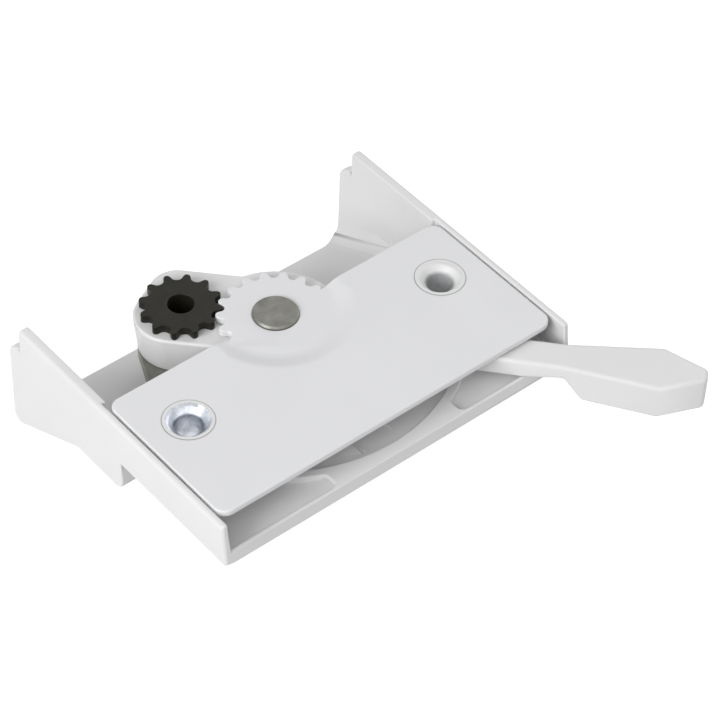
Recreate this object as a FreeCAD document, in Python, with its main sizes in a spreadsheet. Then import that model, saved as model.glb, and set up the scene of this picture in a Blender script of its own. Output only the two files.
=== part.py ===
import FreeCAD, Part
import math
import os

import Sketcher

# A sash lock seen with its base plate up. Millimetres and degrees.
# Origin: midway between the two screw posts, on the plate's outer face (z = 0).
# +X runs along the plate, +Y towards the open back between the wings, +Z out of the plate.

SIZES = [
    # the base plate and its sunk disc
    ("hole_spacing", 60.3, "between the screw posts"),
    ("plate_length", 79.0, "along X"),
    ("plate_front", 22.0, "front edge, in front of the posts"),
    ("plate_back", 12.4, "back edge, behind the posts"),
    ("plate_sheet", 1.5, "sheet thickness"),
    ("plate_corner", 2.5, "corner radius"),
    ("sink_depth", 1.15, "how far the disc round the pin is pressed in"),
    ("sink_radius", 15.1, "rim of the pressed disc"),
    ("sink_draft", 3.6, "slope of its wall, measured across"),
    # the cast housing
    ("side_gap", 0.5, "between the plate and each side wall"),
    ("wall", 1.5, "side walls"),
    ("wing_more", 0.8, "the wings behind the plate are thicker than the walls by this much"),
    ("wall_front", 24.3, "front end of the side walls at the top"),
    ("lip_front", 25.5, "front face of the lip"),
    ("lip_thick", 1.2, "lip, front to back"),
    ("box_depth", 9.5, "front part of the housing"),
    ("land_depth", 6.8, "top of the lip and the land"),
    ("pocket_depth", 8.0, "floor of the corner pockets"),
    ("recess_depth", 8.3, "floor of the round recess"),
    ("recess_radius", 34.9, "round recess, about the pin"),
    ("rib_thick", 1.9, "rib round the recess"),
    ("pocket_end", 14.9, "rounded inner end of a corner pocket, from the middle"),
    ("pocket_round", 1.3, "corner radius of that end"),
    ("step_back", 5.5, "outer step from the box to the hood"),
    ("step_round", 2.4, "lower edge of that step"),
    ("hood_depth", 16.8, "flat part of the hood"),
    ("hood_floor", 1.5, "hood wall"),
    ("slope_back", 19.6, "where the hood starts to slope"),
    ("hood_slope", 0.5, "fall of the hood for each millimetre back"),
    ("hood_back", 41.2, "back edge of the wings"),
    ("notch_back", 37.6, "back end of the wings' top edge"),
    ("notch_depth", 5.5, "notch in the wings' top back corner"),
    ("notch_round", 2.8, "shoulder below the notch"),
    ("hood_round", 2.0, "low back corner of the wings"),
    ("root_round", 4.0, "inside fillet between wing and sloping floor"),
    ("post_radius", 5.5, "screw post below the plate"),
    ("post_neck", 4.5, "post through the plate"),
    ("rim_radius", 4.95, "riveted rim, flush with the plate's face"),
    ("rim_deep", 0.35, "depth of the rim's seat in the plate"),
    ("funnel_radius", 4.2, "mouth of the screw hole"),
    ("funnel_depth", 1.8, "funnel below the plate's face"),
    ("screw_radius", 2.5, "screw hole"),
    ("sink_head_radius", 4.6, "screw head seat in the cover face"),
    ("sink_head_depth", 2.1, "depth of that seat"),
    ("boss_radius", 5.0, "boss that holds the pin"),
    ("boss_tall", 2.0, "boss above the hood floor"),
    ("mark_radius", 3.7, "round mark on the recess floor"),
    ("mark_deep", 0.3, "depth of the mark"),
    ("mark_front", 18.6, "the mark's centre, in front of the posts"),
    ("mark_left", 1.0, "the mark's centre, left of the middle"),
    ("groove_wide", 1.0, "groove beside the mark"),
    ("groove_deep", 0.5, "depth of the groove"),
    ("groove_long", 7.0, "length of the groove"),
    # the pivot pin and washers
    ("pivot_back", 12.5, "pin axis behind the posts"),
    ("pin_head", 4.5, "riveted head radius"),
    ("pin_proud", 0.6, "head above the sunk disc"),
    ("pin_bevel", 0.35, "bevel round the head"),
    ("pin_shank", 3.5, "shank radius"),
    ("pin_spigot", 2.5, "lower end in the boss"),
    ("spigot_deep", 2.6, "spigot in the boss"),
    ("spring_tall", 0.45, "conical spring washer under the plate"),
    ("spring_sheet", 0.3, "its sheet"),
    ("spring_radius", 9.0, "its outer radius"),
    ("thrust_tall", 0.4, "thrust washer on the boss"),
    ("run_gap", 0.06, "clearance of running fits"),
    # the lever, hub and arm, one casting
    ("hub_radius", 13.85, "hub round the pin"),
    ("hub_thick", 4.2, "hub"),
    ("stem_radius", 5.0, "hub's stem down to the thrust washer"),
    ("arm_angle", 133.5, "direction of the arm"),
    ("arm_reach", 18.15, "pin axis to pinion axis"),
    ("arm_right", 11.3, "half width on the side away from the cam's lobe"),
    ("arm_left", 8.55, "half width on the lobe's side"),
    ("arm_end_right", 23.9, "end of the arm on the right, before it is rounded"),
    ("arm_end_left", 29.8, "end of the arm on the left, before it is rounded"),
    ("arm_round_right", 5.5, "corner radius on the right"),
    ("arm_round_left", 7.6, "corner radius on the left"),
    ("arm_heel", 9.0, "where the thick arm starts, from the pin axis"),
    ("arm_draft", 4.0, "draft of the arm's sides, in degrees"),
    ("lever_angle", -48.5, "direction of the lever"),
    ("shank_top", 2.1, "top of the lever below the plate face"),
    ("shank_thick", 4.3, "shank, where it leaves the housing"),
    ("shank_half", 3.3, "half width of the shank"),
    ("shank_bend", 47.5, "where the shank starts to grow thinner, from the pin axis"),
    ("shank_thin", 3.3, "shank at the tab"),
    ("disc_gap", 1.0, "between the sunk disc and the raised shank"),
    ("tab_start", 55.2, "where the tab starts, from the pin axis"),
    ("tab_wide_at", 73.4, "widest place of the tab"),
    ("tab_half", 5.6, "half width there"),
    ("tab_end", 82.0, "tip of the tab"),
    ("tab_end_half", 1.5, "half width of the blunt tip"),
    ("tab_thick", 8.0, "tab"),
    ("tab_slope", 3.7, "slope of the tab's inner face, measured along"),
    # the gears and the locking cam
    ("sun_teeth", 18, "if the plate's teeth went all round"),
    ("pinion_teeth", 12, "teeth of the pinion"),
    ("sun_addendum", 0.51, "plate's teeth above the pitch circle"),
    ("pinion_addendum", 0.79, "pinion's teeth above the pitch circle"),
    ("tooth_root_gap", 0.3, "tip to root clearance"),
    ("tooth_backlash", 0.6, "play between the teeth"),
    ("tooth_round", 0.42, "height of the rounded tips and roots"),
    ("pressure_angle", 25, "of the teeth"),
    ("pinion_hole", 2.57, "hole through the pinion"),
    ("journal_radius", 3.7, "pinion shaft in the arm"),
    ("journal_flat", 3.3, "half width over the shaft's two flats"),
    ("cam_radius", 8.4, "locking cam round the shaft"),
    ("cam_thick", 2.8, "locking cam"),
    ("cam_tip_radius", 4.0, "end of the cam's lobe"),
    ("cam_reach", 12.5, "along the cam's straight flank"),
    ("cam_flank_angle", 246.4, "direction of the straight flank"),
    ("clip_radius", 5.3, "retaining ring"),
    ("clip_thick", 0.6, "retaining ring"),
    ("shaft_over", 0.2, "shaft below the ring"),
    ("floor_gap", 0.14, "shaft's end above the hood floor"),
]

doc = FreeCAD.newDocument("sash_lock")
dims = doc.addObject("Spreadsheet::Sheet", "dims")
for row, (alias, number, note) in enumerate(SIZES, start=1):
    dims.set("A%d" % row, alias)
    dims.set("B%d" % row, str(number))
    dims.set("C%d" % row, note)
    dims.setAlias("B%d" % row, alias)
doc.recompute()


class Size:
    """Reads a driving dimension from the sheet by its alias."""

    def __getattr__(self, alias):
        return float(getattr(dims, alias))


size = Size()

# Levels and places that follow from the driving dimensions, as formulas on the sheet.
HALF_IN = "(dims.plate_length / 2 + dims.side_gap)"
WING_IN = "(dims.plate_length / 2 + dims.side_gap - dims.wing_more)"
HALF_OUT = "(dims.plate_length / 2 + dims.side_gap + dims.wall)"
DISC_LOW = "(dims.sink_depth + dims.plate_sheet)"
ARM_TOP = "(dims.sink_depth + dims.plate_sheet + dims.spring_tall)"
HUB_LOW = "(dims.sink_depth + dims.plate_sheet + dims.spring_tall + dims.hub_thick)"
HOOD_IN = "(dims.hood_depth - dims.hood_floor)"
ARM_LOW = "(%s - dims.floor_gap - dims.shaft_over - dims.clip_thick - dims.cam_thick - dims.run_gap)" % HOOD_IN
BOSS_TOP = "(dims.hood_depth - dims.hood_floor - dims.boss_tall)"
STEM_LOW = "(dims.hood_depth - dims.hood_floor - dims.boss_tall - dims.thrust_tall)"
SLOPE_STRETCH = "sqrt(1 + dims.hood_slope ^ 2)"
BEYOND = "5"


def value(formula):
    """The number that a sheet formula gives now."""
    return float(dims.evalExpression(formula.replace("dims.", "")))


def bind(thing, **formulas):
    """Ties properties of a document object to formulas on the sheet."""
    for prop, formula in formulas.items():
        thing.setExpression(prop, formula)


def place(thing, x="0", y="0", z="0", turn=None):
    """Ties an object's position, and its turn about Z, to the sheet."""
    thing.Placement = FreeCAD.Placement(FreeCAD.Vector(0, 0, 0), FreeCAD.Rotation(FreeCAD.Vector(0, 0, 1), 1))
    bind(thing, **{"Placement.Base.x": x, "Placement.Base.y": y, "Placement.Base.z": z})
    bind(thing, **{"Placement.Rotation.Angle": turn if turn else "0"})


def new_body(name, x="0", y="0", z="0", turn=None):
    body = doc.addObject("PartDesign::Body", name)
    place(body, x, y, z, turn)
    return body


def new_sketch(body, name, role="XY_Plane", level=None):
    """A sketch on one of the body's own origin planes, moved along its normal by level."""
    sketch = body.newObject("Sketcher::SketchObject", name)
    plane = next(part for part in body.Origin.OriginFeatures if part.Role == role)
    sketch.AttachmentSupport = [(plane, "")]
    sketch.MapMode = "FlatFace"
    if level:
        bind(sketch, **{"AttachmentOffset.Base.z": level})
    return sketch


def draw_outline(sketch, corners, arcs=None):
    """A closed outline through corners given as pairs of formulas.
    arcs maps the number of a side to (centre x, centre y, radius, sign), sign 1 for anticlockwise."""
    arcs = arcs or {}
    spots = [(value(x), value(y)) for x, y in corners]
    count = len(corners)
    for side in range(count):
        start = spots[side]
        end = spots[(side + 1) % count]
        if side in arcs:
            cx, cy, radius, sign = arcs[side]
            centre = FreeCAD.Vector(value(cx), value(cy), 0)
            first = math.atan2(start[1] - centre.y, start[0] - centre.x)
            last = math.atan2(end[1] - centre.y, end[0] - centre.x)
            if sign < 0:
                first, last = last, first
            circle = Part.Circle(centre, FreeCAD.Vector(0, 0, 1), value(radius))
            sketch.addGeometry(Part.ArcOfCircle(circle, first, last))
        else:
            sketch.addGeometry(Part.LineSegment(FreeCAD.Vector(*start, 0), FreeCAD.Vector(*end, 0)))
    tail = {side: (1 if arcs[side][3] > 0 else 2) if side in arcs else 1 for side in range(count)}
    head = {side: 3 - tail[side] for side in range(count)}
    for side in range(count):
        following = (side + 1) % count
        sketch.addConstraint(Sketcher.Constraint("Coincident", side, head[side], following, tail[following]))
    for side, (x, y) in enumerate(corners):
        for kind, formula, number in (("DistanceX", x, spots[side][0]), ("DistanceY", y, spots[side][1])):
            index = sketch.addConstraint(Sketcher.Constraint(kind, -1, 1, side, tail[side], number))
            sketch.setExpression("Constraints[%d]" % index, formula)
    for side, (cx, cy, radius, sign) in arcs.items():
        index = sketch.addConstraint(Sketcher.Constraint("Radius", side, value(radius)))
        sketch.setExpression("Constraints[%d]" % index, radius)
    return sketch


def pad(body, name, sketch, length, both_ways=False, down=False):
    feature = body.newObject("PartDesign::Pad", name)
    feature.Profile = sketch
    feature.Midplane = both_ways
    feature.Reversed = down
    bind(feature, Length=length)
    doc.recompute()
    return feature


def pocket(body, name, sketch, length, both_ways=False, up=False):
    """Cuts from the sketch down, or up, and makes sure that something was removed."""
    before = body.Shape.Volume
    feature = body.newObject("PartDesign::Pocket", name)
    feature.Profile = sketch
    feature.Midplane = both_ways
    feature.Reversed = up
    bind(feature, Length=length)
    doc.recompute()
    if body.Shape.Volume > before - 0.01:
        raise RuntimeError("%s cuts nothing" % name)
    return feature


def turned(name, corners, x="0", y="0"):
    """A turned piece: a body revolved about its own Z axis, corners as (radius, height)."""
    body = new_body(name, x, y)
    sketch = draw_outline(new_sketch(body, name + "_profile", "XZ_Plane"), corners)
    feature = body.newObject("PartDesign::Revolution", name + "_turn")
    feature.Profile = sketch
    feature.ReferenceAxis = (sketch, ["V_Axis"])
    feature.Angle = 360
    doc.recompute()
    return body


def round_edges(body, name, radius, wanted):
    """Fillets the edges of the body's last feature for which wanted(edge) is true."""
    tip = body.Tip
    picked = ["Edge%d" % (number + 1) for number, edge in enumerate(tip.Shape.Edges) if wanted(edge)]
    if not picked:
        raise RuntimeError("%s finds no edge" % name)
    feature = body.newObject("PartDesign::Fillet", name)
    feature.Base = (tip, picked)
    bind(feature, Radius=radius)
    doc.recompute()
    return feature


def upright(edge):
    box = edge.BoundBox
    return box.ZLength > 0.1 and box.XLength < 0.001 and box.YLength < 0.001


def near(number, formula, within=0.02):
    return abs(number - value(formula)) < within


def drilled(body, name, radius, x, y, low, high):
    """A round hole in the body from height low to height high, both formulas."""
    before = body.Shape.Volume
    feature = body.newObject("PartDesign::SubtractiveCylinder", name)
    feature.Placement = FreeCAD.Placement()
    bind(feature, Radius=radius, Height="%s - (%s)" % (high, low))
    bind(feature, **{"Placement.Base.x": x, "Placement.Base.y": y, "Placement.Base.z": low})
    doc.recompute()
    if body.Shape.Volume > before - 0.01:
        raise RuntimeError("%s cuts nothing" % name)
    return feature


def coned(body, name, low_radius, high_radius, x, y, low, high):
    """A conical cut in the body from height low to height high, both formulas."""
    feature = body.newObject("PartDesign::SubtractiveCone", name)
    feature.Placement = FreeCAD.Placement()
    bind(feature, Radius1=low_radius, Radius2=high_radius, Height="%s - (%s)" % (high, low))
    bind(feature, **{"Placement.Base.x": x, "Placement.Base.y": y, "Placement.Base.z": low})
    doc.recompute()
    return feature


def added_round(body, name, radius, x, y, low, high):
    """A cylinder added to the body from height low to height high, both formulas."""
    feature = body.newObject("PartDesign::AdditiveCylinder", name)
    feature.Placement = FreeCAD.Placement()
    bind(feature, Radius=radius, Height="%s - (%s)" % (high, low))
    bind(feature, **{"Placement.Base.x": x, "Placement.Base.y": y, "Placement.Base.z": low})
    doc.recompute()
    return feature


def joined(name, parts):
    fuse = doc.addObject("Part::MultiFuse", name)
    fuse.Shapes = parts
    fuse.Refine = True
    doc.recompute()
    return fuse


def solid_feature(name, shape, x=0.0, y=0.0):
    feature = doc.addObject("Part::Feature", name)
    feature.Shape = shape
    feature.Placement = FreeCAD.Placement(FreeCAD.Vector(x, y, 0), FreeCAD.Rotation()).multiply(shape.Placement)
    return feature


# Gear teeth

def polar(radius, angle):
    return FreeCAD.Vector(radius * math.cos(angle), radius * math.sin(angle), 0)


def gear(teeth, pitch, tip, root, first_tooth, hole, low, high):
    """A gear with round-tipped teeth. Each flank is the arc that matches the involute at the pitch circle."""
    pressure = math.radians(size.pressure_angle)
    base = pitch * math.cos(pressure)
    flank = pitch * math.sin(pressure)
    step = 2 * math.pi / teeth
    thickness = math.pi * pitch / teeth - size.tooth_backlash / 2
    half = thickness / (2 * pitch)

    def flank_angle(radius):
        cosine = (base ** 2 + radius ** 2 - flank ** 2) / (2 * base * radius)
        return half - pressure + math.acos(cosine)

    shoulder = tip - size.tooth_round
    foot = root + size.tooth_round
    edges = []
    for number in range(teeth):
        middle = first_tooth + number * step
        right = [polar(r, middle - flank_angle(r)) for r in (foot, pitch, shoulder)]
        left = [polar(r, middle + flank_angle(r)) for r in (shoulder, pitch, foot)]
        following = polar(foot, middle + step - flank_angle(foot))
        edges.append(Part.Arc(*right).toShape())
        edges.append(Part.Arc(right[-1], polar(tip, middle), left[0]).toShape())
        edges.append(Part.Arc(*left).toShape())
        edges.append(Part.Arc(left[-1], polar(root, middle + step / 2), following).toShape())
    blank = raised(edges, low, high)
    return blank.cut(Part.makeCylinder(hole, high - low, FreeCAD.Vector(0, 0, low)))


def raised(edges, low, high):
    """The outline, drawn at height 0, as a solid from height low to height high."""
    outline = Part.Wire(Part.__sortEdges__(edges))
    outline.translate(FreeCAD.Vector(0, 0, low))
    return Part.Face(outline).extrude(FreeCAD.Vector(0, 0, high - low))


arm_turn = math.radians(size.arm_angle)
module = 2 * size.arm_reach / (size.sun_teeth + size.pinion_teeth)
sun_pitch = module * size.sun_teeth / 2
pinion_pitch = module * size.pinion_teeth / 2
sun_tip = sun_pitch + size.sun_addendum
sun_root = sun_pitch - size.pinion_addendum - size.tooth_root_gap
pinion_tip = pinion_pitch + size.pinion_addendum
pinion_root = pinion_pitch - size.sun_addendum - size.tooth_root_gap
pinion_x = size.arm_reach * math.cos(arm_turn)
pinion_y = size.pivot_back + size.arm_reach * math.sin(arm_turn)
PINION_X = "dims.arm_reach * cos(dims.arm_angle)"
PINION_Y = "(dims.pivot_back + dims.arm_reach * sin(dims.arm_angle))"


# The housing: cover, wings, lip and screw posts in one casting

def make_housing():
    body = new_body("housing")
    side = new_sketch(body, "side_profile", "YZ_Plane")
    hood_end = "-(dims.hood_depth + dims.hood_slope * (dims.hood_back - dims.slope_back))"
    draw_outline(side, [
        ("-dims.wall_front", "0"),
        ("-dims.lip_front", "-dims.box_depth"),
        ("dims.step_back", "-dims.box_depth"),
        ("dims.step_back", "-dims.hood_depth"),
        ("dims.slope_back", "-dims.hood_depth"),
        ("dims.hood_back", hood_end),
        ("dims.hood_back", "-dims.notch_depth"),
        ("dims.notch_back", "-dims.notch_depth"),
        ("dims.notch_back", "0"),
    ])
    pad(body, "shell", side, "2 * " + HALF_OUT, both_ways=True)
    along_x = lambda edge: edge.BoundBox.XLength > value(HALF_IN)
    round_edges(body, "notch_shoulder", "dims.notch_round",
                lambda e: along_x(e) and near(e.BoundBox.YMin, "dims.hood_back")
                and near(e.BoundBox.ZMin, "-dims.notch_depth"))
    round_edges(body, "hood_corner", "dims.hood_round",
                lambda e: along_x(e) and near(e.BoundBox.YMin, "dims.hood_back")
                and near(e.BoundBox.ZMin, hood_end))
    round_edges(body, "step_corner", "dims.step_round",
                lambda e: along_x(e) and near(e.BoundBox.YMin, "dims.step_back")
                and near(e.BoundBox.ZMin, "-dims.hood_depth"))
    inside = new_sketch(body, "inside_profile", "YZ_Plane")
    slope_in = "(dims.slope_back + dims.hood_floor * (%s - 1) / dims.hood_slope)" % SLOPE_STRETCH
    far = "(dims.hood_back + %s)" % BEYOND
    far_low = "-(dims.hood_depth + dims.hood_slope * (%s - dims.slope_back) - dims.hood_floor * %s)" % (
        far, SLOPE_STRETCH)
    draw_outline(inside, [
        ("-(dims.lip_front + %s)" % BEYOND, BEYOND),
        ("-(dims.lip_front + %s)" % BEYOND, "-dims.land_depth"),
        ("dims.step_back + dims.wall", "-dims.land_depth"),
        ("dims.step_back + dims.wall", "-" + HOOD_IN),
        (slope_in, "-" + HOOD_IN),
        (far, far_low),
        (far, BEYOND),
    ])
    pocket(body, "inside", inside, "2 * " + WING_IN, both_ways=True)
    wide = new_sketch(body, "plate_room_profile", "YZ_Plane")
    draw_outline(wide, [
        ("-(dims.lip_front + %s)" % BEYOND, BEYOND),
        ("-(dims.lip_front + %s)" % BEYOND, "-dims.land_depth"),
        ("dims.plate_back + dims.side_gap", "-dims.land_depth"),
        ("dims.plate_back + dims.side_gap", BEYOND),
    ])
    pocket(body, "plate_room", wide, "2 * " + HALF_IN, both_ways=True)
    round_edges(body, "wing_roots", "dims.root_round",
                lambda e: near(abs(e.CenterOfMass.x), WING_IN) and e.BoundBox.YMin > value(slope_in) - 0.1
                and e.BoundBox.ZMax < -value(HOOD_IN) + 0.1
                and e.BoundBox.YLength > value("dims.hood_back - dims.slope_back") / 2)
    drilled(body, "recess", "dims.recess_radius", "0", "dims.pivot_back", "-dims.recess_depth", "0")
    for sign, word in ((1, "right"), (-1, "left")):
        make_corner_pocket(body, word, sign)
        make_post(body, word, sign)
    make_pin_boss(body)
    make_floor_marks(body)
    return body


def make_corner_pocket(body, word, sign):
    """A pocket between the lip, the side wall and the rib round the recess."""
    rib = "(dims.recess_radius + dims.rib_thick)"
    lip = "-(dims.lip_front - dims.lip_thick)"
    end = "(dims.pivot_back - sqrt(%s ^ 2 - dims.pocket_end ^ 2))" % rib
    back = "(dims.step_back + dims.wall)"
    far = "sqrt(%s ^ 2 - (dims.pivot_back - %s) ^ 2)" % (rib, back)
    s = "%d * " % sign
    sketch = new_sketch(body, word + "_pocket_outline", "XY_Plane", "-dims.land_depth")
    draw_outline(sketch, [
        (s + "dims.pocket_end", lip),
        (s + HALF_IN, lip),
        (s + HALF_IN, back),
        (s + far, back),
        (s + "dims.pocket_end", end),
    ], {3: ("0", "dims.pivot_back", rib, -sign)})
    pocket(body, word + "_pocket", sketch, "dims.pocket_depth - dims.land_depth")
    round_edges(body, word + "_pocket_end", "dims.pocket_round",
                lambda e: upright(e) and near(e.BoundBox.XMin, s + "dims.pocket_end")
                and near(e.BoundBox.ZMax, "-dims.land_depth"))


def make_post(body, word, sign):
    """A screw post: it carries the plate on its shoulder and is riveted into the plate's hole."""
    x = "%d * dims.hole_spacing / 2" % sign
    added_round(body, word + "_post", "dims.post_radius", x, "0", "-dims.box_depth", "-dims.plate_sheet")
    added_round(body, word + "_neck", "dims.post_neck", x, "0", "-dims.plate_sheet", "0")
    rim = body.newObject("PartDesign::AdditiveCone", word + "_rim")
    rim.Placement = FreeCAD.Placement()
    bind(rim, Radius1="dims.post_neck", Radius2="dims.rim_radius", Height="dims.rim_deep")
    bind(rim, **{"Placement.Base.x": x, "Placement.Base.z": "-dims.rim_deep"})
    doc.recompute()
    coned(body, word + "_funnel", "dims.screw_radius", "dims.funnel_radius", x, "0", "-dims.funnel_depth", "0")
    drilled(body, word + "_screw_hole", "dims.screw_radius", x, "0", "-dims.box_depth", "0")
    coned(body, word + "_head_seat", "dims.sink_head_radius", "dims.screw_radius", x, "0",
          "-dims.box_depth", "-dims.box_depth + dims.sink_head_depth")


def make_pin_boss(body):
    added_round(body, "pin_boss", "dims.boss_radius", "0", "dims.pivot_back", "-" + HOOD_IN, "-" + BOSS_TOP)
    drilled(body, "pin_socket", "dims.pin_spigot", "0", "dims.pivot_back",
            "-%s - dims.spigot_deep" % BOSS_TOP, "-" + BOSS_TOP)


def make_floor_marks(body):
    """The round mark and the groove that show on the recess floor through the front opening."""
    low = "-dims.recess_depth - dims.mark_deep"
    drilled(body, "round_mark", "dims.mark_radius", "-dims.mark_left", "-dims.mark_front", low, "-dims.recess_depth")
    sketch = new_sketch(body, "groove_outline", "XY_Plane", "-dims.recess_depth")
    right = "-(dims.mark_left + dims.mark_radius)"
    left = "(%s - dims.groove_wide)" % right
    front = "-(dims.mark_front + dims.mark_radius * 0.5)"
    draw_outline(sketch, [
        (left, front),
        (right, front),
        (right, front + " + dims.groove_long"),
        (left, front + " + dims.groove_long"),
    ])
    pocket(body, "groove", sketch, "dims.groove_deep")


# The base plate, with the fixed teeth stamped from the same sheet

def make_base_plate():
    blank = new_body("plate_blank")
    sketch = new_sketch(blank, "plate_outline")
    draw_outline(sketch, [
        ("-dims.plate_length / 2", "-dims.plate_front"),
        ("dims.plate_length / 2", "-dims.plate_front"),
        ("dims.plate_length / 2", "dims.plate_back"),
        ("-dims.plate_length / 2", "dims.plate_back"),
    ])
    pad(blank, "sheet", sketch, "dims.plate_sheet", down=True)
    round_edges(blank, "plate_corners", "dims.plate_corner", upright)
    for sign, word in ((1, "right"), (-1, "left")):
        x = "%d * dims.hole_spacing / 2" % sign
        drilled(blank, word + "_plate_hole", "dims.post_neck", x, "0", "-dims.plate_sheet", "0")
        coned(blank, word + "_rim_seat", "dims.post_neck", "dims.rim_radius", x, "0", "-dims.rim_deep", "0")
    sunk_radius = "(dims.sink_radius - dims.sink_draft)"
    below = blank.newObject("PartDesign::AdditiveCone", "sunk_disc")
    below.Placement = FreeCAD.Placement()
    bind(below, Radius1=sunk_radius, Radius2="dims.sink_radius", Height="dims.sink_depth")
    bind(below, **{"Placement.Base.y": "dims.pivot_back", "Placement.Base.z": "-" + DISC_LOW})
    doc.recompute()
    coned(blank, "sunk_face", sunk_radius, "dims.sink_radius", "0", "dims.pivot_back", "-dims.sink_depth", "0")
    behind = new_sketch(blank, "behind_outline")
    draw_outline(behind, [
        ("-dims.sink_radius", "dims.plate_back"),
        ("dims.sink_radius", "dims.plate_back"),
        ("dims.sink_radius", "dims.pivot_back + dims.sink_radius + 1"),
        ("-dims.sink_radius", "dims.pivot_back + dims.sink_radius + 1"),
    ])
    pocket(blank, "back_cut", behind, "4 * " + DISC_LOW, both_ways=True)
    drilled(blank, "pin_hole", "dims.pin_head", "0", "dims.pivot_back", "-" + DISC_LOW, "-dims.sink_depth")
    first = arm_turn + math.pi / size.sun_teeth
    ring = gear(int(size.sun_teeth), sun_pitch, sun_tip, sun_root, first, size.pin_head,
                -value(DISC_LOW), -size.sink_depth)
    teeth = solid_feature("fixed_teeth", ring, 0, size.pivot_back)
    return joined("base_plate", [blank, teeth])


# The pin and its washers

def make_pivot_pin():
    head = "(dims.pin_proud - dims.sink_depth)"
    return turned("pivot_pin", [
        ("0", head),
        ("dims.pin_head - dims.pin_bevel", head),
        ("dims.pin_head", head + " - dims.pin_bevel"),
        ("dims.pin_head", "-" + DISC_LOW),
        ("dims.pin_shank", "-" + DISC_LOW),
        ("dims.pin_shank", "-" + BOSS_TOP),
        ("dims.pin_spigot", "-" + BOSS_TOP),
        ("dims.pin_spigot", "-(%s + dims.spigot_deep)" % BOSS_TOP),
        ("0", "-(%s + dims.spigot_deep)" % BOSS_TOP),
    ], y="dims.pivot_back")


def make_spring_washer():
    """A conical spring washer: its inner edge bears on the plate and its outer edge on the hub."""
    bore = "(dims.pin_shank + dims.run_gap)"
    return turned("spring_washer", [
        (bore, "-(%s + dims.spring_sheet)" % DISC_LOW),
        ("dims.spring_radius", "-" + ARM_TOP),
        ("dims.spring_radius", "-(%s - dims.spring_sheet)" % ARM_TOP),
        (bore, "-" + DISC_LOW),
    ], y="dims.pivot_back")


def make_thrust_washer():
    bore = "(dims.pin_shank + dims.run_gap)"
    return turned("thrust_washer", [
        (bore, "-" + BOSS_TOP),
        ("dims.boss_radius", "-" + BOSS_TOP),
        ("dims.boss_radius", "-" + STEM_LOW),
        (bore, "-" + STEM_LOW),
    ], y="dims.pivot_back")


# The lever, hub and arm, one casting

def make_arm():
    """The arm that carries the pinion, drawn along its own X axis from the pin."""
    body = new_body("arm_blank", y="dims.pivot_back", turn="dims.arm_angle")
    plan = new_sketch(body, "arm_plan", level="-" + ARM_TOP)
    draw_outline(plan, [
        ("dims.arm_heel", "-dims.arm_right"),
        ("dims.arm_end_right", "-dims.arm_right"),
        ("dims.arm_end_left", "dims.arm_left"),
        ("dims.arm_heel", "dims.arm_left"),
    ])
    block = pad(body, "arm_block", plan, "%s - %s" % (ARM_LOW, ARM_TOP), down=True)
    bind(block, TaperAngle="-dims.arm_draft")
    doc.recompute()
    for word in ("right", "left"):
        round_edges(body, "arm_%s_corner" % word, "dims.arm_round_" + word,
                    lambda e: e.BoundBox.ZLength > 1 and near(e.BoundBox.XMax, "dims.arm_end_" + word))
    root = new_sketch(body, "arm_root_plan", level="-" + ARM_TOP)
    draw_outline(root, [
        ("0", "-dims.arm_right"),
        ("dims.arm_heel + 1", "-dims.arm_right"),
        ("dims.arm_heel + 1", "dims.arm_left"),
        ("0", "dims.arm_left"),
    ])
    pad(body, "arm_root", root, "dims.hub_thick", down=True)
    return body


def make_lever():
    """The lever's shank and tab, drawn along their own X axis from the pin: the plan, cut to the side view."""
    body = new_body("lever_blank", y="dims.pivot_back", turn="dims.lever_angle")
    clear_of_disc = "(dims.sink_radius + dims.disc_gap)"
    top = "-dims.shank_top"
    low = "-(dims.shank_top + dims.shank_thick)"
    plan = new_sketch(body, "lever_plan", level=top)
    draw_outline(plan, [
        ("dims.pin_shank + 1", "-dims.shank_half"),
        ("dims.tab_start", "-dims.shank_half"),
        ("dims.tab_wide_at", "-dims.tab_half"),
        ("dims.tab_end", "-dims.tab_end_half"),
        ("dims.tab_end", "dims.tab_end_half"),
        ("dims.tab_wide_at", "dims.tab_half"),
        ("dims.tab_start", "dims.shank_half"),
        ("dims.pin_shank + 1", "dims.shank_half"),
    ])
    pad(body, "lever_block", plan, "dims.tab_thick", down=True)
    over = new_sketch(body, "over_root_side", "XZ_Plane")
    draw_outline(over, [
        ("0", "-" + ARM_TOP),
        (clear_of_disc, "-" + ARM_TOP),
        (clear_of_disc, "0"),
        ("0", "0"),
    ])
    pocket(body, "over_root", over, "4 * dims.tab_half", both_ways=True)
    under = new_sketch(body, "under_shank_side", "XZ_Plane")
    draw_outline(under, [
        ("0", low),
        ("dims.shank_bend", low),
        ("dims.tab_start", "-(dims.shank_top + dims.shank_thin)"),
        ("dims.tab_start + dims.tab_slope", "-(dims.shank_top + dims.tab_thick)"),
        ("dims.tab_start + dims.tab_slope", "-(dims.shank_top + dims.tab_thick + 1)"),
        ("0", "-(dims.shank_top + dims.tab_thick + 1)"),
    ])
    pocket(body, "under_shank", under, "4 * dims.tab_half", both_ways=True)
    return body


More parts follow.
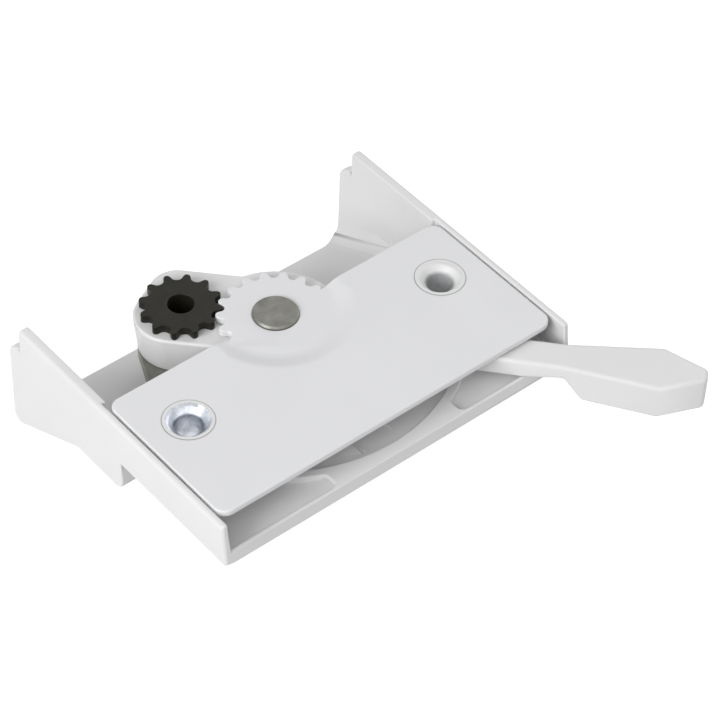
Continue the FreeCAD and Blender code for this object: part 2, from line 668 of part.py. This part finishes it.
def make_cam_lever():
    hub = new_body("hub_blank", y="dims.pivot_back")
    added_round(hub, "hub", "dims.hub_radius", "0", "0", "-" + HUB_LOW, "-" + ARM_TOP)
    added_round(hub, "stem", "dims.stem_radius", "0", "0", "-" + STEM_LOW, "-" + HUB_LOW)
    blank = joined("cam_lever_blank", [hub, make_arm(), make_lever()])
    bores = doc.addObject("Part::Cylinder", "pin_bore")
    bind(bores, Radius="dims.pin_shank + dims.run_gap", Height="dims.hood_depth")
    place(bores, y="dims.pivot_back", z="-dims.hood_depth")
    bearing = doc.addObject("Part::Cylinder", "journal_bore")
    bind(bearing, Radius="dims.journal_radius + dims.run_gap", Height="dims.hood_depth")
    place(bearing, x=PINION_X, y=PINION_Y, z="-dims.hood_depth")
    cuts = joined("lever_bores", [bores, bearing])
    cut = doc.addObject("Part::Cut", "cam_lever")
    cut.Base = blank
    cut.Tool = cuts
    doc.recompute()
    return cut


# The pinion with its hollow shaft, the locking cam and the ring that keeps them on

def flatted(radius, half, low, high):
    """A shaft length with two flats across X."""
    rod = Part.makeCylinder(radius, high - low, FreeCAD.Vector(0, 0, low))
    block = Part.makeBox(2 * radius, 2 * half, high - low, FreeCAD.Vector(-radius, -half, low))
    return rod.common(block)


pinion_top = -size.sink_depth
pinion_low = -value(ARM_TOP) + size.run_gap
cam_top = -value(ARM_LOW) - size.run_gap
cam_low = cam_top - size.cam_thick
clip_low = cam_low - size.clip_thick
shaft_low = clip_low - size.shaft_over


def make_pinion():
    wheel = gear(int(size.pinion_teeth), pinion_pitch, pinion_tip, pinion_root, arm_turn + math.pi,
                 size.pinion_hole, pinion_low, pinion_top)
    shaft = Part.makeCylinder(size.journal_radius, pinion_low - cam_top, FreeCAD.Vector(0, 0, cam_top))
    end = flatted(size.journal_radius, size.journal_flat, shaft_low, cam_top)
    hole = Part.makeCylinder(size.pinion_hole, -shaft_low, FreeCAD.Vector(0, 0, shaft_low))
    shape = wheel.fuse([shaft, end]).cut(hole).removeSplitter()
    return solid_feature("pinion", shape, pinion_x, pinion_y)


def tangent_outline(big, small, offset):
    """The outline round two circles: the big one at the origin and the small one at offset."""
    reach = math.hypot(offset.x, offset.y)
    line = math.atan2(offset.y, offset.x)
    lean = math.acos((big - small) / reach)
    a = polar(big, line + lean)
    b = offset + polar(small, line + lean)
    c = offset + polar(small, line - lean)
    d = polar(big, line - lean)
    return [
        Part.LineSegment(a, b).toShape(),
        Part.Arc(b, offset + polar(small, line), c).toShape(),
        Part.LineSegment(c, d).toShape(),
        Part.Arc(d, polar(big, line + math.pi), a).toShape(),
    ]


def make_locking_cam():
    flank = math.radians(size.cam_flank_angle)
    outward = flank - math.pi / 2
    offset = polar(size.cam_reach, flank) + polar(size.cam_radius - size.cam_tip_radius, outward)
    blank = raised(tangent_outline(size.cam_radius, size.cam_tip_radius, offset), cam_low, cam_top)
    shaft = flatted(size.journal_radius, size.journal_flat, cam_low - 1, cam_top + 1)
    return solid_feature("locking_cam", blank.cut(shaft), pinion_x, pinion_y)


def make_cam_clip():
    ring = Part.makeCylinder(size.clip_radius, size.clip_thick, FreeCAD.Vector(0, 0, clip_low))
    shaft = flatted(size.journal_radius, size.journal_flat, clip_low - 1, cam_low + 1)
    return solid_feature("cam_clip", ring.cut(shaft), pinion_x, pinion_y)


parts = [
    make_housing(),
    make_base_plate(),
    make_pivot_pin(),
    make_spring_washer(),
    make_thrust_washer(),
    make_cam_lever(),
    make_pinion(),
    make_locking_cam(),
    make_cam_clip(),
]
doc.recompute()

for thing in doc.Objects:
    if "Invalid" in thing.State or "Error" in thing.State:
        raise RuntimeError("%s failed: %s" % (thing.Name, thing.State))
for part in parts:
    part.Label = part.Name
    shape = part.Shape
    if shape.isNull() or not shape.isValid() or not shape.Solids:
        raise RuntimeError("%s has no valid solid" % part.Name)

os.makedirs("parts", exist_ok=True)
for part in parts:
    part.Shape.exportStep(os.path.join("parts", part.Name + ".step"))
    box = part.Shape.BoundBox
    print("%-14s solids %d volume %9.1f  x %.1f..%.1f  y %.1f..%.1f  z %.1f..%.1f" % (
        part.Name, len(part.Shape.Solids), part.Shape.Volume, box.XMin, box.XMax, box.YMin, box.YMax,
        box.ZMin, box.ZMax))
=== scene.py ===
# %% [markdown]
# # A white sash lock, seen from its base
# The lock comes from CAD as a set of bare solids. Here they get what a foundry and a paint line
# give the real one: softened casting edges, satin paint, bare zinc, dull steel and powder metal.
# Each step below adds one of these, and says why it is done that way.

import math

import bmesh
import bpy
from mathutils import Matrix, Vector


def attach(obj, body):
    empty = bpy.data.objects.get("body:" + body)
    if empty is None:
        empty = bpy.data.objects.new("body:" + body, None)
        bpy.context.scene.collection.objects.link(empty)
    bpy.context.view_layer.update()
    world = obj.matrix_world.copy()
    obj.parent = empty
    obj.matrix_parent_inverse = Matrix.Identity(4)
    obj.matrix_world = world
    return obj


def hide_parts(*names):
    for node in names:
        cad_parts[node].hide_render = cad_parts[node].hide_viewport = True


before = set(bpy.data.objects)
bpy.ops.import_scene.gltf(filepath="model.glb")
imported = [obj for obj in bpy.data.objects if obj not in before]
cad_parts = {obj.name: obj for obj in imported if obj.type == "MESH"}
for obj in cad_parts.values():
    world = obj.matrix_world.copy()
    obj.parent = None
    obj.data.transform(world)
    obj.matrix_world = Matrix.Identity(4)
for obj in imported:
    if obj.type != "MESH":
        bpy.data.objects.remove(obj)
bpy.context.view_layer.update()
MM = 0.001
print("frame:", sorted(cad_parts))

# %% [markdown]
# ## The camera
# A product photograph taken with a long lens has almost parallel edges, so the camera stands
# about half a metre away and looks down on the base plate. It could be placed by eye and aimed
# at an empty, but three angles, measured from the plate's corners and the two screw posts, and
# a slide in the camera's own axes can each be corrected without disturbing the others.

# %% Camera axes
AZIMUTH = math.radians(-41.44)
ELEVATION = math.radians(45.85)
ROLL = math.radians(2.46)


def camera_axes():
    """The camera's own side, top and back directions, as the columns of a matrix."""
    back = Vector((
        math.sin(AZIMUTH) * math.cos(ELEVATION),
        -math.cos(AZIMUTH) * math.cos(ELEVATION),
        math.sin(ELEVATION),
    ))
    right = Vector((math.cos(AZIMUTH), math.sin(AZIMUTH), 0))
    up = back.cross(right)
    side = math.cos(ROLL) * right + math.sin(ROLL) * up
    top = -math.sin(ROLL) * right + math.cos(ROLL) * up
    return Matrix((side, top, back)).transposed()


axes = camera_axes()
print("camera faces", [round(-c, 3) for c in axes.col[2]])

# %% Camera
CAMERA_OFFSET_MM = Vector((7.9, -2.5, 533.0))
FOCAL_PX = 2863
FRAME_PX = 720
SENSOR_MM = 36
NEAR_CLIP = 0.05


def add_camera():
    """A camera with a lens of FOCAL_PX, slid along its own axes from the frame's origin."""
    data = bpy.data.cameras.new("photo_camera")
    data.sensor_fit = "HORIZONTAL"
    data.sensor_width = SENSOR_MM
    data.lens = FOCAL_PX / FRAME_PX * SENSOR_MM
    data.clip_start = NEAR_CLIP
    data.dof.use_dof = False
    camera = bpy.data.objects.new("photo_camera", data)
    camera.matrix_world = Matrix.Translation(axes @ CAMERA_OFFSET_MM * MM) @ axes.to_4x4()
    bpy.context.scene.collection.objects.link(camera)
    bpy.context.scene.camera = camera
    return camera


camera = add_camera()
print("camera at", [round(c, 3) for c in camera.matrix_world.translation])

# %% [markdown]
# ## Shared finish groups
# The same small irregularities turn up on several pieces: sprayed paint that lies in a faint
# orange peel, and round zones where a post was rolled or machined. They could be drawn in each
# material again, but a node group with named inputs is built once and placed in each material
# with its own values, so a correction reaches all of them.

# %% Node helpers


def new_group(name, inputs, outputs):
    """A shader node group of number sockets: inputs as {name: default}, outputs as names."""
    group = bpy.data.node_groups.new(name, "ShaderNodeTree")
    for label, default in inputs.items():
        socket = group.interface.new_socket(label, in_out="INPUT", socket_type="NodeSocketFloat")
        socket.default_value = default
    for label in outputs:
        group.interface.new_socket(label, in_out="OUTPUT", socket_type="NodeSocketFloat")
    start = group.nodes.new("NodeGroupInput")
    end = group.nodes.new("NodeGroupOutput")
    return group, start, end


def plug(tree, node, key, source):
    """Links a socket to a node's input, or sets the input to a plain value."""
    if isinstance(source, bpy.types.NodeSocket):
        tree.links.new(source, node.inputs[key])
    else:
        node.inputs[key].default_value = source


def wire(tree, kind, links=None, **settings):
    """Adds a node, sets its properties and plugs its inputs."""
    node = tree.nodes.new(kind)
    for key, setting in settings.items():
        setattr(node, key, setting)
    for key, source in (links or {}).items():
        plug(tree, node, key, source)
    return node


print("node helpers ready")

# %% Pattern helpers


def math_node(tree, operation, *values, clamp=False):
    """A Math node on one, two or three values."""
    links = dict(enumerate(values))
    node = wire(tree, "ShaderNodeMath", links, operation=operation, use_clamp=clamp)
    return node.outputs[0]


def place_on_object(tree):
    """Object coordinates, which stay with the piece when it moves."""
    return tree.nodes.new("ShaderNodeTexCoord").outputs["Object"]


def noise(tree, place, scale, detail, roughness):
    """The strength of a noise pattern, about 0.5 in the middle."""
    links = {"Vector": place, "Scale": scale, "Detail": detail, "Roughness": roughness}
    return wire(tree, "ShaderNodeTexNoise", links).outputs[0]


print("pattern helpers ready")

# %% Paint skin group


def paint_skin_group():
    """Sprayed paint: the height of its orange peel, and a slow shade between -1 and 1."""
    inputs = {"Grain Size": 600.0, "Cloud Size": 40.0}
    group, start, end = new_group("paint_skin", inputs, ("Height", "Shade"))
    place = place_on_object(group)
    grain = noise(group, place, start.outputs["Grain Size"], detail=2.0, roughness=0.5)
    cloud = noise(group, place, start.outputs["Cloud Size"], detail=3.0, roughness=0.55)
    shade = math_node(group, "MULTIPLY", math_node(group, "SUBTRACT", cloud, 0.5), 2.0)
    group.links.new(grain, end.inputs["Height"])
    group.links.new(shade, end.inputs["Shade"])
    return group


PAINT_SKIN = paint_skin_group()
print("group:", PAINT_SKIN.name, len(PAINT_SKIN.nodes), "nodes")

# %% Round zone group
RAGGED_SCALE = 900.0


def round_zone_group():
    """A mask that is 1 inside Radius round an upright axis at X, Y, and fades over Fade."""
    inputs = {"X": 0.0, "Y": 0.0, "Radius": 0.005, "Fade": 0.0005, "Ragged": 0.0}
    group, start, end = new_group("round_zone", inputs, ("Mask", "Distance"))
    place = place_on_object(group)
    parts = wire(group, "ShaderNodeSeparateXYZ", {0: place})
    squares = []
    for axis, label in enumerate("XY"):
        off = math_node(group, "SUBTRACT", parts.outputs[axis], start.outputs[label])
        squares.append(math_node(group, "MULTIPLY", off, off))
    distance = math_node(group, "SQRT", math_node(group, "ADD", *squares))
    torn = noise(group, place, RAGGED_SCALE, detail=3.0, roughness=0.6)
    ragged = math_node(group, "SUBTRACT", torn, 0.5)
    wobble = math_node(group, "MULTIPLY", ragged, start.outputs["Ragged"])
    reach = math_node(group, "ADD", distance, wobble)
    inside = math_node(group, "SUBTRACT", start.outputs["Radius"], reach)
    mask = math_node(group, "DIVIDE", inside, start.outputs["Fade"], clamp=True)
    group.links.new(mask, end.inputs["Mask"])
    group.links.new(distance, end.inputs["Distance"])
    return group


ROUND_ZONE = round_zone_group()
print("group:", ROUND_ZONE.name, len(ROUND_ZONE.nodes), "nodes")

# %% [markdown]
# ## White paint on the castings and the plate
# The housing and the lever are zinc die castings, and the plate is stamped steel. All three are
# sprayed white. A single flat colour would look like plastic, so the paint gets a faint cloud in
# its shade and its gloss, and a very shallow peel as a bump. A bump is enough here, because the
# peel is far too shallow to show in an outline.

# %% Material helpers


def new_material(name):
    """A material with its node tree and its Principled BSDF."""
    material = bpy.data.materials.new(name)
    material.use_nodes = True
    return material, material.node_tree, material.node_tree.nodes["Principled BSDF"]


def place_group(tree, group, **values):
    """A group in a material, with its inputs set by name."""
    node = wire(tree, "ShaderNodeGroup", node_tree=group)
    for label, setting in values.items():
        node.inputs[label.title().replace("_", " ")].default_value = setting
    return node


def mix_colours(tree, factor, first, second):
    """Mixes two colours by a factor."""
    node = wire(tree, "ShaderNodeMix", data_type="RGBA")
    for key, source in ((0, factor), (6, first), (7, second)):
        plug(tree, node, key, source)
    return node.outputs[2]


def ramp(tree, source, low, high, start=0.0, end=1.0):
    """Maps low..high of the source to start..end, clamped."""
    links = {0: source, 1: low, 2: high, 3: start, 4: end}
    return wire(tree, "ShaderNodeMapRange", links, clamp=True).outputs[0]


print("material helpers ready")

# %% Paint
PEEL_SCALE = 1100.0
PEEL_HEIGHT = 0.04 * MM
GLOSS_SPREAD = 0.05
PALER, DARKER = 1.015, 0.975


def painted(name, colour, roughness, cloud_size, peel):
    """Satin paint. Returns the material, its tree, its shader and the socket of its colour."""
    material, tree, shader = new_material(name)
    skin = place_group(tree, PAINT_SKIN, grain_size=PEEL_SCALE, cloud_size=cloud_size)
    light = [channel * PALER for channel in colour]
    dark = [channel * DARKER for channel in colour]
    amount = ramp(tree, skin.outputs["Shade"], -0.5, 0.5)
    paint = mix_colours(tree, amount, (*dark, 1), (*light, 1))
    gloss = math_node(tree, "MULTIPLY_ADD", skin.outputs["Shade"], GLOSS_SPREAD, roughness)
    links = {"Strength": peel, "Distance": PEEL_HEIGHT, "Height": skin.outputs["Height"]}
    bump = wire(tree, "ShaderNodeBump", links)
    tree.links.new(paint, shader.inputs["Base Color"])
    tree.links.new(gloss, shader.inputs["Roughness"])
    tree.links.new(bump.outputs[0], shader.inputs["Normal"])
    return material, tree, shader, paint


WHITE = (0.80, 0.80, 0.80)
lever_paint = painted("lever_paint", WHITE, roughness=0.42, cloud_size=60.0, peel=0.25)[0]
print("paint:", lever_paint.name)

# %% [markdown]
# ## Seams, bare metal and painted shade round the posts
# The housing's two posts go through the plate, and their rims are rolled over it, which leaves a
# hair-thin dark seam. A groove that thin would need a very fine mesh, so the seam is a ring in
# the colour, made from the distance to the post's axis. The left post was machined after it was
# painted, so its funnel is bare zinc. The right one's bore is painted a darker grey: painted shade
# for the depth of the bore.

# %% Seam rings on the plate
POST_X = 30.15 * MM
SEAM_RADIUS = 4.95 * MM
SEAM_HALF_WIDTH = 0.16 * MM
SEAM_GREY = (0.30, 0.31, 0.32, 1)
PLATE_WHITE = (0.812, 0.814, 0.828)


def add_seam(tree, colour, zone):
    """Darkens a colour in a thin ring, where a post's rolled rim meets the plate."""
    off = math_node(tree, "SUBTRACT", zone.outputs["Distance"], SEAM_RADIUS)
    share = math_node(tree, "DIVIDE", math_node(tree, "ABSOLUTE", off), SEAM_HALF_WIDTH)
    ring = math_node(tree, "SUBTRACT", 1.0, share, clamp=True)
    return mix_colours(tree, ring, colour, SEAM_GREY)


def plate_finish():
    """Light paint with the seam rings of both posts."""
    material, tree, shader, colour = painted(
        "plate_paint", PLATE_WHITE, roughness=0.46, cloud_size=45.0, peel=0.12)
    for x in (-POST_X, POST_X):
        colour = add_seam(tree, colour, place_group(tree, ROUND_ZONE, x=x, y=0.0))
    tree.links.new(colour, shader.inputs["Base Color"])
    return material


plate_paint = plate_finish()
print("paint:", plate_paint.name)

# %% Bare zinc, and painted shade in the right bore
DARK_ZINC = (0.33, 0.36, 0.41, 1)
LIGHT_ZINC = (0.70, 0.73, 0.78, 1)
ZINC_METALLIC = 0.9
# Painted shade: a darker grey deep in the right post's bore, standing in for the shade there.
BORE_SHADE_GREY = (0.26, 0.28, 0.285, 1)
FUNNEL = {"radius": 4.45 * MM, "fade": 0.5 * MM, "ragged": 0.9 * MM}
BORE_SHADE = {"radius": 3.1 * MM, "fade": 0.9 * MM, "ragged": 0.3 * MM}


def housing_finish():
    """White paint, with bare zinc in the left post's funnel and painted shade in the right bore."""
    material, tree, shader, paint = painted(
        "housing_paint", WHITE, roughness=0.42, cloud_size=55.0, peel=0.25)
    # Painted shade: the right bore is mixed towards a darker grey, in place of its shade.
    bore = place_group(tree, ROUND_ZONE, x=POST_X, y=0.0, **BORE_SHADE)
    paint = add_seam(tree, mix_colours(tree, bore.outputs["Mask"], paint, BORE_SHADE_GREY), bore)
    funnel = place_group(tree, ROUND_ZONE, x=-POST_X, y=0.0, **FUNNEL)
    bare = funnel.outputs["Mask"]
    paint = add_seam(tree, paint, funnel)
    streaks = noise(tree, place_on_object(tree), scale=420.0, detail=5.0, roughness=0.65)
    zinc = mix_colours(tree, ramp(tree, streaks, 0.35, 0.65), DARK_ZINC, LIGHT_ZINC)
    tree.links.new(mix_colours(tree, bare, paint, zinc), shader.inputs["Base Color"])
    metallic = math_node(tree, "MULTIPLY", bare, ZINC_METALLIC)
    tree.links.new(metallic, shader.inputs["Metallic"])
    return material


housing_paint = housing_finish()
print("paint:", housing_paint.name)

# %% [markdown]
# ## Bare metals
# The pin's head was cropped and riveted, so it is dull steel with a slightly yellow tarnish. The
# gear and the cam are pressed powder metal, almost matte. The gear is blackened, and the cam is
# left grey, which shows where its edge looks out from under the arm. All three are one recipe: a
# cloud in the colour, and a fine grit in the roughness and the bump.

# %% Bare metal materials
GRIT_HEIGHT = 0.03 * MM
POWDER_SPECULAR = 0.25
STEEL_METALLIC = 0.85


def rough_metal(name, dark, light, cloud, spread, grit, gloss, bumps):
    """Metal between two colours. cloud and grit list a noise's scale, detail and roughness."""
    material, tree, shader = new_material(name)
    place = place_on_object(tree)
    cloudy = noise(tree, place, *cloud)
    gritty = noise(tree, place, *grit)
    colour = mix_colours(tree, ramp(tree, cloudy, *spread), (*dark, 1), (*light, 1))
    links = {"Strength": bumps, "Distance": GRIT_HEIGHT, "Height": gritty}
    bump = wire(tree, "ShaderNodeBump", links)
    tree.links.new(colour, shader.inputs["Base Color"])
    tree.links.new(ramp(tree, gritty, 0.3, 0.7, *gloss), shader.inputs["Roughness"])
    tree.links.new(bump.outputs[0], shader.inputs["Normal"])
    return material, shader


def dull_steel():
    """Steel that was cropped and riveted, with a slightly yellow tarnish."""
    material, shader = rough_metal(
        "dull_steel", dark=(0.155, 0.153, 0.137), light=(0.25, 0.248, 0.228),
        cloud=(330.0, 4.0, 0.6), spread=(0.3, 0.7),
        grit=(2600.0, 2.0, 0.6), gloss=(0.38, 0.55), bumps=0.25)
    shader.inputs["Metallic"].default_value = STEEL_METALLIC
    return material


def powder_metal(name, dark, light):
    """Almost matte pressed metal with a fine grit."""
    material, shader = rough_metal(
        name, dark, light,
        cloud=(260.0, 3.0, 0.6), spread=(0.35, 0.65),
        grit=(2200.0, 3.0, 0.7), gloss=(0.38, 0.56), bumps=0.35)
    shader.inputs["Specular IOR Level"].default_value = POWDER_SPECULAR
    return material


steel = dull_steel()
black_metal = powder_metal("black_powder_metal", (0.0085, 0.0078, 0.0050), (0.0145, 0.0133, 0.0090))
grey_metal = powder_metal("grey_powder_metal", (0.17, 0.17, 0.145), (0.24, 0.24, 0.21))
print("metals:", steel.name, black_metal.name, grey_metal.name)

# %% [markdown]
# ## Softened edges
# No cast or stamped edge is sharp. A Bevel modifier limited by angle would round every edge by
# the same amount, but a casting's outer edges are rounder than its pockets and its bores. So a
# copy of the CAD piece has its triangles merged back into whole faces, and then each kind of
# edge is bevelled by its own size. The CAD piece stays as it is and keeps doing the collision.

# %% Tests on an edge
HARD_ANGLE = math.radians(35)


def is_hard(edge):
    return edge.calc_face_angle(0) > HARD_ANGLE


def is_hard_corner(edge):
    """A hard edge that stands out, unlike one in the foot of a wall."""
    return is_hard(edge) and edge.is_convex


def middle(edge):
    """The middle of an edge in millimetres."""
    return (edge.verts[0].co + edge.verts[1].co) / 2 / MM


print("an edge counts as hard over", round(math.degrees(HARD_ANGLE)), "degrees")

# %% Soft copies
MERGE_DISTANCE = 1e-6
FLAT_ANGLE = math.radians(0.05)
SMOOTH_ANGLE = math.radians(40)


def round_edges(bm, name, rounds):
    """Bevels the wanted edges, one size after the other."""
    for radius_mm, segments, wanted in rounds:
        chosen = [edge for edge in bm.edges if edge.is_manifold and wanted(edge)]
        bmesh.ops.bevel(bm, geom=chosen, offset=radius_mm * MM, offset_type="OFFSET",
                        segments=segments, profile=0.5, affect="EDGES", clamp_overlap=False,
                        material=-1)
        print(name, radius_mm, "mm edges:", len(chosen))


def soft_copy(node, name, body, material, rounds):
    """A CAD node's copy with rounded edges. rounds lists (size in mm, segments, wanted edges)."""
    mesh = bpy.data.meshes.new(name)
    bm = bmesh.new()
    bm.from_mesh(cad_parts[node].data)
    bmesh.ops.remove_doubles(bm, verts=bm.verts, dist=MERGE_DISTANCE)
    bmesh.ops.dissolve_limit(bm, angle_limit=FLAT_ANGLE, verts=bm.verts, edges=bm.edges)
    round_edges(bm, name, rounds)
    for face in bm.faces:
        face.smooth = True
    bm.to_mesh(mesh)
    bm.free()
    mesh.set_sharp_from_angle(angle=SMOOTH_ANGLE)
    mesh.materials.clear()
    mesh.materials.append(material)
    piece = bpy.data.objects.new(name, mesh)
    bpy.context.scene.collection.objects.link(piece)
    weighted = piece.modifiers.new("flat_faces_first", "WEIGHTED_NORMAL")
    weighted.keep_sharp = True
    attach(piece, body)
    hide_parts(node)


print("faces within", round(math.degrees(FLAT_ANGLE), 2), "degrees are merged")

# %% [markdown]
# ## The housing
# The housing is one die casting: a stepped cover with two wings, a lip, two screw posts and a
# land round the recess for the lever. The hand meets the tops of the side walls first, so their
# outer edges are the roundest. Only edges that stand out are rounded. A fillet in the foot of a
# wall is a shape of the casting, and comes from CAD. Here and in the next cells, an edge is told
# by where its middle lies, in millimetres from the lock's origin.

# %% Housing edges
INNER_WALL_X = 38.5
MID_WALL_X = 40
OUTER_WALL_X = 40.8
HOLLOW_BACK_Y = 8
WALL_BACK_Y = 10
WALL_UPPER_Z = -6
FLOOR_TOP_Z = -6.9
LAND_Z = -6.8
NEAR_ENOUGH = 0.05


def outer_edge(edge):
    """The walls and wings, but not the hollow between the walls."""
    spot = middle(edge)
    walls = abs(spot.x) > INNER_WALL_X
    hollow = spot.z < FLOOR_TOP_Z and abs(spot.x) < MID_WALL_X and spot.y < HOLLOW_BACK_Y
    return is_hard_corner(edge) and walls and not hollow


def wall_outside(edge):
    """The outer top edges of the two side walls."""
    spot = middle(edge)
    top = spot.y < WALL_BACK_Y and spot.z > WALL_UPPER_Z
    return is_hard_corner(edge) and abs(spot.x) > OUTER_WALL_X and top


def land_edge(edge):
    """The raised land round the recess and the corner pockets."""
    spot = middle(edge)
    on_land = abs(spot.z - LAND_Z) < NEAR_ENOUGH and abs(spot.x) < INNER_WALL_X
    return is_hard_corner(edge) and on_land


soft_copy("housing", "housing_cast", "lock_body", housing_paint,
          [(0.8, 4, wall_outside), (0.4, 3, outer_edge), (0.35, 3, land_edge)])

# %% [markdown]
# ## The base plate
# The plate is stamped from sheet, with a round area pressed in round the pin and gear teeth cut
# in its back edge. A press bends the sheet softly at the disc and leaves only a small roundness
# at a cut edge. So the disc's two creases are found by their distance from the pin and get wide
# bevels, and the outline and the teeth get narrow ones.

# %% Base plate edges
PIVOT_MM = Vector((0, 12.5))
DISC_RIM_RADIUS = 15.1
DISC_FLOOR_RADIUS = 11.5
DISC_FLOOR_Z = -1.15
DISC_BACK_Y = 9.5
TEETH_REACH = 17
POST_REACH = 6


def from_pivot(edge):
    return (middle(edge).xy - PIVOT_MM).length


def on_circle(edge, radius, z):
    """Whether an edge lies on a circle round the pin at a height, short of the back edge."""
    ends = [vert.co / MM for vert in edge.verts]
    level = all(abs((end.xy - PIVOT_MM).length - radius) < NEAR_ENOUGH
                and abs(end.z - z) < NEAR_ENOUGH for end in ends)
    return level and middle(edge).y < DISC_BACK_Y


def pressed_rim(edge):
    return on_circle(edge, DISC_RIM_RADIUS, 0)


def pressed_floor(edge):
    return on_circle(edge, DISC_FLOOR_RADIUS, DISC_FLOOR_Z)


def plate_outline(edge):
    """The outline of the plate, but not its teeth or the holes for the posts."""
    spot = middle(edge)
    from_post = math.hypot(abs(spot.x) - POST_X / MM, spot.y)
    return is_hard(edge) and from_pivot(edge) > TEETH_REACH and from_post > POST_REACH


soft_copy("base_plate", "base_plate_stamped", "lock_body", plate_paint,
          [(0.6, 3, pressed_rim), (1.0, 4, pressed_floor), (0.35, 3, plate_outline),
           (0.2, 3, is_hard)])

# %% [markdown]
# ## The lever
# The lever, the hub round the pin and the arm that carries the gear are one casting. The part
# that a thumb pushes is well rounded. The arm's top edge is crisper, and the mouths of the bores
# get the least, because a wide bevel there would open a ring round the pin and the gear's shaft.

# %% Lever edges
PINION_MM = Vector((-12.5, 25.7))
HUB_REACH = 20
PIN_CLEAR = 13
SHAFT_CLEAR = 5
ARM_UPPER_Z = -4


def from_pinion(edge):
    return (middle(edge).xy - PINION_MM).length


def outside_hub(edge):
    return is_hard(edge) and from_pivot(edge) > HUB_REACH and middle(edge).y < 0


def near_hub(edge):
    return is_hard_corner(edge) and not outside_hub(edge)


def arm_top(edge):
    """The upper edge of the arm and hub, but not the bores."""
    clear_of_bores = from_pivot(edge) > PIN_CLEAR and from_pinion(edge) > SHAFT_CLEAR
    return near_hub(edge) and clear_of_bores and middle(edge).z > ARM_UPPER_Z


soft_copy("cam_lever", "cam_lever_cast", "lever", lever_paint,
          [(0.9, 4, outside_hub), (0.6, 3, arm_top), (0.35, 3, near_hub)])

# %% [markdown]
# ## The gear and the cam
# Both are pressed from powder and sintered, with a small chamfer that the press needs. On the
# gear the mouth of the hole is softer than the teeth, so it is bevelled first and wider.

# %% Gear and cam edges
BORE_REACH = 3


def gear_bore(edge):
    return is_hard(edge) and from_pinion(edge) < BORE_REACH


soft_copy("pinion", "pinion_pressed", "cam_shaft", black_metal,
          [(0.25, 3, gear_bore), (0.1, 2, is_hard)])
soft_copy("locking_cam", "locking_cam_pressed", "cam_shaft", grey_metal,
          [(0.2, 2, is_hard)])

# %% [markdown]
# ## The small steel parts
# The pin, the two washers and the retaining ring are turned or stamped, and their solids already
# have the shape that shows. They need no copy, so the CAD pieces just get the steel.

# %% Steel on the small parts
STEEL_PARTS = ("pivot_pin", "spring_washer", "thrust_washer", "cam_clip")
for node in STEEL_PARTS:
    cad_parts[node].data.materials.clear()
    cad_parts[node].data.materials.append(steel)
print("steel on:", ", ".join(STEEL_PARTS))

# %% [markdown]
# ## Light and floor
# The photograph is a cut-out on white under broad soft light. A pale world gives even light from
# all sides, and four large soft lamps shape the walls: a strong one from the left, one from the
# camera's side, a weak one from the front and one from the right. The background could be made
# white with more light, but that would bleach the paint too. Light Path tells rays that see the
# background from rays that light the lock, so only the background is white.

# %% White world
WORLD_ON_LOCK = 0.27


def background_rays(tree):
    """1 for rays from the camera or in a reflection, and 0 for the light on the lock."""
    path = tree.nodes.new("ShaderNodeLightPath")
    seen = math_node(tree, "ADD", path.outputs["Is Camera Ray"], path.outputs["Is Glossy Ray"])
    return math_node(tree, "ADD", seen, path.outputs["Is Transmission Ray"], clamp=True)


def add_world():
    """White where it is seen, and weaker as a light."""
    world = bpy.data.worlds.new("soft_studio")
    world.use_nodes = True
    tree = world.node_tree
    background = tree.nodes["Background"]
    level = ramp(tree, background_rays(tree), 0.0, 1.0, WORLD_ON_LOCK, 1.0)
    background.inputs["Color"].default_value = (1, 1, 1, 1)
    tree.links.new(level, background.inputs["Strength"])
    bpy.context.scene.world = world


add_world()
print("world:", bpy.context.scene.world.name, "lights the lock at", WORLD_ON_LOCK)

# %% Soft lamps
LAMPS = {
    "left_softbox": ((-0.647, -0.057, 0.375), 0.5, 3.65),
    "camera_side_softbox": ((-0.35, -0.40, 0.53), 0.6, 1.2),
    "front_softbox": ((0.188, -0.70, 0.194), 0.5, 0.55),
    "right_softbox": ((0.62, 0.12, 0.38), 0.7, 1.8),
}


def add_lamp(name, place, width, power):
    """A round lamp that faces the lock. Its width is in metres and its power in watts."""
    data = bpy.data.lights.new(name, "AREA")
    data.shape = "DISK"
    data.size = width
    data.energy = power
    lamp = bpy.data.objects.new(name, data)
    lamp.location = place
    lamp.rotation_euler = (-Vector(place)).to_track_quat("-Z", "Y").to_euler()
    bpy.context.scene.collection.objects.link(lamp)


for name, (place, width, power) in LAMPS.items():
    add_lamp(name, place, width, power)
print("lamps:", ", ".join(LAMPS))

# %% Floor
FLOOR_Z = -26.6 * MM
FLOOR_HALF_WIDTH = 3.0
FLOOR_GREY = 0.5
FLOOR_ROUGHNESS = 0.9
FLOOR_GLOW = 0.8


def add_floor():
    """A plain sheet just under the cover, white to the camera, that keeps the lock's shadow."""
    mesh = bpy.data.meshes.new("floor")
    bm = bmesh.new()
    bmesh.ops.create_grid(bm, x_segments=1, y_segments=1, size=FLOOR_HALF_WIDTH)
    bmesh.ops.translate(bm, vec=(0, 0, FLOOR_Z), verts=bm.verts)
    bm.to_mesh(mesh)
    bm.free()
    material, tree, shader = new_material("white_floor")
    shader.inputs["Base Color"].default_value = (FLOOR_GREY, FLOOR_GREY, FLOOR_GREY, 1)
    shader.inputs["Roughness"].default_value = FLOOR_ROUGHNESS
    shader.inputs["Emission Color"].default_value = (1, 1, 1, 1)
    glow = math_node(tree, "MULTIPLY", background_rays(tree), FLOOR_GLOW)
    tree.links.new(glow, shader.inputs["Emission Strength"])
    mesh.materials.append(material)
    floor = bpy.data.objects.new("floor", mesh)
    bpy.context.scene.collection.objects.link(floor)


add_floor()
bpy.context.scene.view_settings.view_transform = "Standard"
print("floor at", round(FLOOR_Z / MM, 1), "mm")
